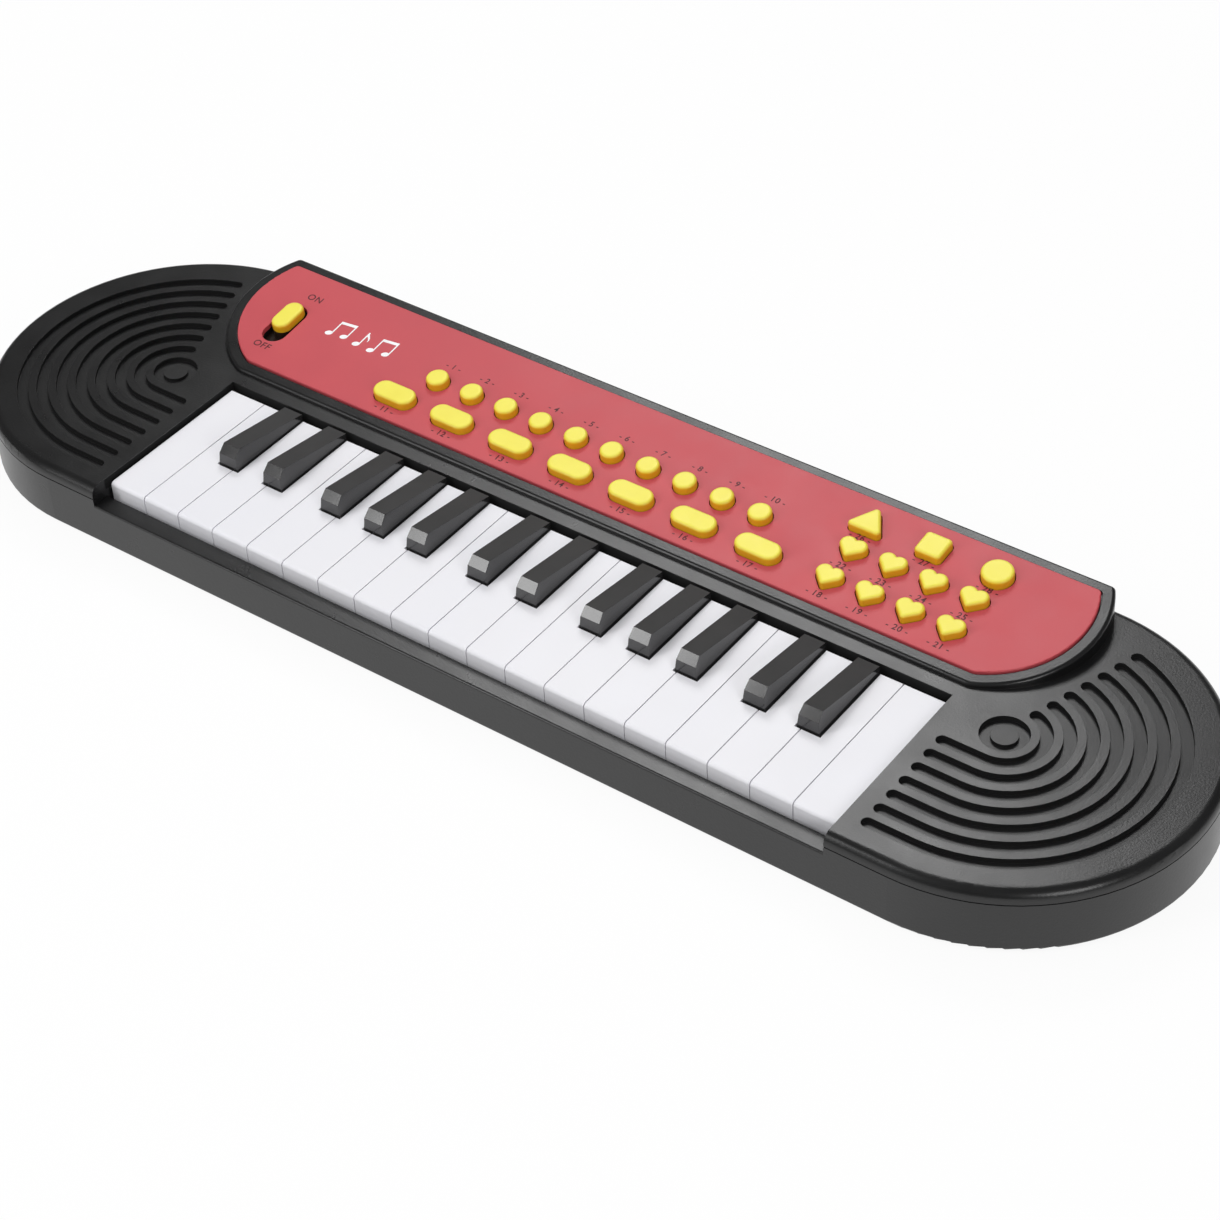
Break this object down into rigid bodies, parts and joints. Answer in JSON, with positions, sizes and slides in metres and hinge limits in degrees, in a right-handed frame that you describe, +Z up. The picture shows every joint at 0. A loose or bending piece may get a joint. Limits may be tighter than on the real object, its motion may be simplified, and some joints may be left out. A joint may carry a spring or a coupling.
{
  "type": "toy piano",
  "caption": "Toy electronic keyboard with rounded ends, grooved end plates, hinged white and black keys, and a sloped red panel with press buttons and a slide switch.",
  "frame": {"origin": "centre of the bounding box at the underside of the rubber feet", "axes": "+X to the player's right along the keys, +Y away from the player, +Z up"},
  "size_m": [0.4904, 0.1396, 0.0373],
  "materials": {
    "case_top": "satin",
    "case_bottom": "satin",
    "panel_red": "satin",
    "key_white": "gloss",
    "key_black": "satin",
    "button_yellow": "satin",
    "board": "satin",
    "pad_rubber": "matte",
    "speaker_metal": "satin",
    "cell_wrap": "gloss",
    "contact_metal": "bright",
    "steel": "bright",
    "foot_rubber": "matte"
  },
  "bodies": {
    "chassis": {"top_case": "case_top", "bottom_case": "case_bottom", "control_panel": "panel_red", "key_pivot_rod": "steel", "key_board": "board", "key_pads": "pad_rubber", "button_board": "board", "button_pads": "pad_rubber", "speakers": "speaker_metal", "batteries": "cell_wrap", "wiring": "contact_metal", "case_screws": "steel", "rubber_feet": "foot_rubber"},
    "battery_door": {"battery_door": "case_bottom"},
    "switch_knob": {"switch_knob": "button_yellow"},
    "white_key_01": {"white_key_01": "key_white"},
    "white_key_02": {"white_key_02": "key_white"},
    "white_key_03": {"white_key_03": "key_white"},
    "white_key_04": {"white_key_04": "key_white"},
    "white_key_05": {"white_key_05": "key_white"},
    "white_key_06": {"white_key_06": "key_white"},
    "white_key_07": {"white_key_07": "key_white"},
    "white_key_08": {"white_key_08": "key_white"},
    "white_key_09": {"white_key_09": "key_white"},
    "white_key_10": {"white_key_10": "key_white"},
    "white_key_11": {"white_key_11": "key_white"},
    "white_key_12": {"white_key_12": "key_white"},
    "white_key_13": {"white_key_13": "key_white"},
    "white_key_14": {"white_key_14": "key_white"},
    "white_key_15": {"white_key_15": "key_white"},
    "white_key_16": {"white_key_16": "key_white"},
    "white_key_17": {"white_key_17": "key_white"},
    "white_key_18": {"white_key_18": "key_white"},
    "white_key_19": {"white_key_19": "key_white"},
    "black_key_01": {"black_key_01": "key_black"},
    "black_key_02": {"black_key_02": "key_black"},
    "black_key_03": {"black_key_03": "key_black"},
    "black_key_04": {"black_key_04": "key_black"},
    "black_key_05": {"black_key_05": "key_black"},
    "black_key_06": {"black_key_06": "key_black"},
    "black_key_07": {"black_key_07": "key_black"},
    "black_key_08": {"black_key_08": "key_black"},
    "black_key_09": {"black_key_09": "key_black"},
    "black_key_10": {"black_key_10": "key_black"},
    "black_key_11": {"black_key_11": "key_black"},
    "black_key_12": {"black_key_12": "key_black"},
    "button_pill_1": {"button_pill_1": "button_yellow"},
    "button_pill_2": {"button_pill_2": "button_yellow"},
    "button_pill_3": {"button_pill_3": "button_yellow"},
    "button_pill_4": {"button_pill_4": "button_yellow"},
    "button_pill_5": {"button_pill_5": "button_yellow"},
    "button_pill_6": {"button_pill_6": "button_yellow"},
    "button_pill_7": {"button_pill_7": "button_yellow"},
    "button_rounds_1": {"button_rounds_1": "button_yellow"},
    "button_rounds_2": {"button_rounds_2": "button_yellow"},
    "button_hearts_1": {"button_hearts_1": "button_yellow"},
    "button_hearts_2": {"button_hearts_2": "button_yellow"},
    "button_triangle": {"button_triangle": "button_yellow"},
    "button_square": {"button_square": "button_yellow"},
    "button_circle": {"button_circle": "button_yellow"}
  },
  "joints": [
    {"name": "battery_door_hinge", "type": "hinge", "parent": "chassis", "child": "battery_door", "pos_m": [0, 0.06168, 0.0023], "axis": [1, 0, 0], "range_deg": [0, 100]},
    {"name": "switch_slide", "type": "slide", "parent": "chassis", "child": "switch_knob", "axis": [0, -0.9919, -0.1271], "range_m": [0, 0.0046]},
    {"name": "white_key_01_hinge", "type": "hinge", "parent": "chassis", "child": "white_key_01", "pos_m": [0, 0.01287, 0.01659], "axis": [1, 0, 0], "range_deg": [0, 2.56], "stiffness_Nm_per_rad": 0.35, "springref_deg": -6.88},
    {"name": "white_key_02_hinge", "type": "hinge", "parent": "chassis", "child": "white_key_02", "pos_m": [0, 0.01287, 0.01659], "axis": [1, 0, 0], "range_deg": [0, 2.56], "stiffness_Nm_per_rad": 0.35, "springref_deg": -6.88},
    {"name": "white_key_03_hinge", "type": "hinge", "parent": "chassis", "child": "white_key_03", "pos_m": [0, 0.01287, 0.01659], "axis": [1, 0, 0], "range_deg": [0, 2.56], "stiffness_Nm_per_rad": 0.35, "springref_deg": -6.88},
    {"name": "white_key_04_hinge", "type": "hinge", "parent": "chassis", "child": "white_key_04", "pos_m": [0, 0.01287, 0.01659], "axis": [1, 0, 0], "range_deg": [0, 2.56], "stiffness_Nm_per_rad": 0.35, "springref_deg": -6.88},
    {"name": "white_key_05_hinge", "type": "hinge", "parent": "chassis", "child": "white_key_05", "pos_m": [0, 0.01287, 0.01659], "axis": [1, 0, 0], "range_deg": [0, 2.56], "stiffness_Nm_per_rad": 0.35, "springref_deg": -6.88},
    {"name": "white_key_06_hinge", "type": "hinge", "parent": "chassis", "child": "white_key_06", "pos_m": [0, 0.01287, 0.01659], "axis": [1, 0, 0], "range_deg": [0, 2.56], "stiffness_Nm_per_rad": 0.35, "springref_deg": -6.88},
    {"name": "white_key_07_hinge", "type": "hinge", "parent": "chassis", "child": "white_key_07", "pos_m": [0, 0.01287, 0.01659], "axis": [1, 0, 0], "range_deg": [0, 2.56], "stiffness_Nm_per_rad": 0.35, "springref_deg": -6.88},
    {"name": "white_key_08_hinge", "type": "hinge", "parent": "chassis", "child": "white_key_08", "pos_m": [0, 0.01287, 0.01659], "axis": [1, 0, 0], "range_deg": [0, 2.56], "stiffness_Nm_per_rad": 0.35, "springref_deg": -6.88},
    {"name": "white_key_09_hinge", "type": "hinge", "parent": "chassis", "child": "white_key_09", "pos_m": [0, 0.01287, 0.01659], "axis": [1, 0, 0], "range_deg": [0, 2.56], "stiffness_Nm_per_rad": 0.35, "springref_deg": -6.88},
    {"name": "white_key_10_hinge", "type": "hinge", "parent": "chassis", "child": "white_key_10", "pos_m": [0, 0.01287, 0.01659], "axis": [1, 0, 0], "range_deg": [0, 2.56], "stiffness_Nm_per_rad": 0.35, "springref_deg": -6.88},
    {"name": "white_key_11_hinge", "type": "hinge", "parent": "chassis", "child": "white_key_11", "pos_m": [0, 0.01287, 0.01659], "axis": [1, 0, 0], "range_deg": [0, 2.56], "stiffness_Nm_per_rad": 0.35, "springref_deg": -6.88},
    {"name": "white_key_12_hinge", "type": "hinge", "parent": "chassis", "child": "white_key_12", "pos_m": [0, 0.01287, 0.01659], "axis": [1, 0, 0], "range_deg": [0, 2.56], "stiffness_Nm_per_rad": 0.35, "springref_deg": -6.88},
    {"name": "white_key_13_hinge", "type": "hinge", "parent": "chassis", "child": "white_key_13", "pos_m": [0, 0.01287, 0.01659], "axis": [1, 0, 0], "range_deg": [0, 2.56], "stiffness_Nm_per_rad": 0.35, "springref_deg": -6.88},
    {"name": "white_key_14_hinge", "type": "hinge", "parent": "chassis", "child": "white_key_14", "pos_m": [0, 0.01287, 0.01659], "axis": [1, 0, 0], "range_deg": [0, 2.56], "stiffness_Nm_per_rad": 0.35, "springref_deg": -6.88},
    {"name": "white_key_15_hinge", "type": "hinge", "parent": "chassis", "child": "white_key_15", "pos_m": [0, 0.01287, 0.01659], "axis": [1, 0, 0], "range_deg": [0, 2.56], "stiffness_Nm_per_rad": 0.35, "springref_deg": -6.88},
    {"name": "white_key_16_hinge", "type": "hinge", "parent": "chassis", "child": "white_key_16", "pos_m": [0, 0.01287, 0.01659], "axis": [1, 0, 0], "range_deg": [0, 2.56], "stiffness_Nm_per_rad": 0.35, "springref_deg": -6.88},
    {"name": "white_key_17_hinge", "type": "hinge", "parent": "chassis", "child": "white_key_17", "pos_m": [0, 0.01287, 0.01659], "axis": [1, 0, 0], "range_deg": [0, 2.56], "stiffness_Nm_per_rad": 0.35, "springref_deg": -6.88},
    {"name": "white_key_18_hinge", "type": "hinge", "parent": "chassis", "child": "white_key_18", "pos_m": [0, 0.01287, 0.01659], "axis": [1, 0, 0], "range_deg": [0, 2.56], "stiffness_Nm_per_rad": 0.35, "springref_deg": -6.88},
    {"name": "white_key_19_hinge", "type": "hinge", "parent": "chassis", "child": "white_key_19", "pos_m": [0, 0.01287, 0.01659], "axis": [1, 0, 0], "range_deg": [0, 2.56], "stiffness_Nm_per_rad": 0.35, "springref_deg": -6.88},
    {"name": "black_key_01_hinge", "type": "hinge", "parent": "chassis", "child": "black_key_01", "pos_m": [0, 0.01287, 0.01659], "axis": [1, 0, 0], "range_deg": [0, 2.56], "stiffness_Nm_per_rad": 0.35, "springref_deg": -6.88},
    {"name": "black_key_02_hinge", "type": "hinge", "parent": "chassis", "child": "black_key_02", "pos_m": [0, 0.01287, 0.01659], "axis": [1, 0, 0], "range_deg": [0, 2.56], "stiffness_Nm_per_rad": 0.35, "springref_deg": -6.88},
    {"name": "black_key_03_hinge", "type": "hinge", "parent": "chassis", "child": "black_key_03", "pos_m": [0, 0.01287, 0.01659], "axis": [1, 0, 0], "range_deg": [0, 2.56], "stiffness_Nm_per_rad": 0.35, "springref_deg": -6.88},
    {"name": "black_key_04_hinge", "type": "hinge", "parent": "chassis", "child": "black_key_04", "pos_m": [0, 0.01287, 0.01659], "axis": [1, 0, 0], "range_deg": [0, 2.56], "stiffness_Nm_per_rad": 0.35, "springref_deg": -6.88},
    {"name": "black_key_05_hinge", "type": "hinge", "parent": "chassis", "child": "black_key_05", "pos_m": [0, 0.01287, 0.01659], "axis": [1, 0, 0], "range_deg": [0, 2.56], "stiffness_Nm_per_rad": 0.35, "springref_deg": -6.88},
    {"name": "black_key_06_hinge", "type": "hinge", "parent": "chassis", "child": "black_key_06", "pos_m": [0, 0.01287, 0.01659], "axis": [1, 0, 0], "range_deg": [0, 2.56], "stiffness_Nm_per_rad": 0.35, "springref_deg": -6.88},
    {"name": "black_key_07_hinge", "type": "hinge", "parent": "chassis", "child": "black_key_07", "pos_m": [0, 0.01287, 0.01659], "axis": [1, 0, 0], "range_deg": [0, 2.56], "stiffness_Nm_per_rad": 0.35, "springref_deg": -6.88},
    {"name": "black_key_08_hinge", "type": "hinge", "parent": "chassis", "child": "black_key_08", "pos_m": [0, 0.01287, 0.01659], "axis": [1, 0, 0], "range_deg": [0, 2.56], "stiffness_Nm_per_rad": 0.35, "springref_deg": -6.88},
    {"name": "black_key_09_hinge", "type": "hinge", "parent": "chassis", "child": "black_key_09", "pos_m": [0, 0.01287, 0.01659], "axis": [1, 0, 0], "range_deg": [0, 2.56], "stiffness_Nm_per_rad": 0.35, "springref_deg": -6.88},
    {"name": "black_key_10_hinge", "type": "hinge", "parent": "chassis", "child": "black_key_10", "pos_m": [0, 0.01287, 0.01659], "axis": [1, 0, 0], "range_deg": [0, 2.56], "stiffness_Nm_per_rad": 0.35, "springref_deg": -6.88},
    {"name": "black_key_11_hinge", "type": "hinge", "parent": "chassis", "child": "black_key_11", "pos_m": [0, 0.01287, 0.01659], "axis": [1, 0, 0], "range_deg": [0, 2.56], "stiffness_Nm_per_rad": 0.35, "springref_deg": -6.88},
    {"name": "black_key_12_hinge", "type": "hinge", "parent": "chassis", "child": "black_key_12", "pos_m": [0, 0.01287, 0.01659], "axis": [1, 0, 0], "range_deg": [0, 2.56], "stiffness_Nm_per_rad": 0.35, "springref_deg": -6.88},
    {"name": "button_pill_1_press", "type": "slide", "parent": "chassis", "child": "button_pill_1", "axis": [0, 0.1271, -0.9919], "range_m": [0, 0.0015], "stiffness_N_per_m": 250, "springref_m": -0.002},
    {"name": "button_pill_2_press", "type": "slide", "parent": "chassis", "child": "button_pill_2", "axis": [0, 0.1271, -0.9919], "range_m": [0, 0.0015], "stiffness_N_per_m": 250, "springref_m": -0.002},
    {"name": "button_pill_3_press", "type": "slide", "parent": "chassis", "child": "button_pill_3", "axis": [0, 0.1271, -0.9919], "range_m": [0, 0.0015], "stiffness_N_per_m": 250, "springref_m": -0.002},
    {"name": "button_pill_4_press", "type": "slide", "parent": "chassis", "child": "button_pill_4", "axis": [0, 0.1271, -0.9919], "range_m": [0, 0.0015], "stiffness_N_per_m": 250, "springref_m": -0.002},
    {"name": "button_pill_5_press", "type": "slide", "parent": "chassis", "child": "button_pill_5", "axis": [0, 0.1271, -0.9919], "range_m": [0, 0.0015], "stiffness_N_per_m": 250, "springref_m": -0.002},
    {"name": "button_pill_6_press", "type": "slide", "parent": "chassis", "child": "button_pill_6", "axis": [0, 0.1271, -0.9919], "range_m": [0, 0.0015], "stiffness_N_per_m": 250, "springref_m": -0.002},
    {"name": "button_pill_7_press", "type": "slide", "parent": "chassis", "child": "button_pill_7", "axis": [0, 0.1271, -0.9919], "range_m": [0, 0.0015], "stiffness_N_per_m": 250, "springref_m": -0.002},
    {"name": "button_rounds_1_press", "type": "slide", "parent": "chassis", "child": "button_rounds_1", "axis": [0, 0.1271, -0.9919], "range_m": [0, 0.0015], "stiffness_N_per_m": 600, "springref_m": -0.002},
    {"name": "button_rounds_2_press", "type": "slide", "parent": "chassis", "child": "button_rounds_2", "axis": [0, 0.1271, -0.9919], "range_m": [0, 0.0015], "stiffness_N_per_m": 600, "springref_m": -0.002},
    {"name": "button_hearts_1_press", "type": "slide", "parent": "chassis", "child": "button_hearts_1", "axis": [0, 0.1271, -0.9919], "range_m": [0, 0.0015], "stiffness_N_per_m": 600, "springref_m": -0.002},
    {"name": "button_hearts_2_press", "type": "slide", "parent": "chassis", "child": "button_hearts_2", "axis": [0, 0.1271, -0.9919], "range_m": [0, 0.0015], "stiffness_N_per_m": 600, "springref_m": -0.002},
    {"name": "button_triangle_press", "type": "slide", "parent": "chassis", "child": "button_triangle", "axis": [0, 0.1271, -0.9919], "range_m": [0, 0.0015], "stiffness_N_per_m": 250, "springref_m": -0.002},
    {"name": "button_square_press", "type": "slide", "parent": "chassis", "child": "button_square", "axis": [0, 0.1271, -0.9919], "range_m": [0, 0.0015], "stiffness_N_per_m": 250, "springref_m": -0.002},
    {"name": "button_circle_press", "type": "slide", "parent": "chassis", "child": "button_circle", "axis": [0, 0.1271, -0.9919], "range_m": [0, 0.0015], "stiffness_N_per_m": 250, "springref_m": -0.002}
  ]
}
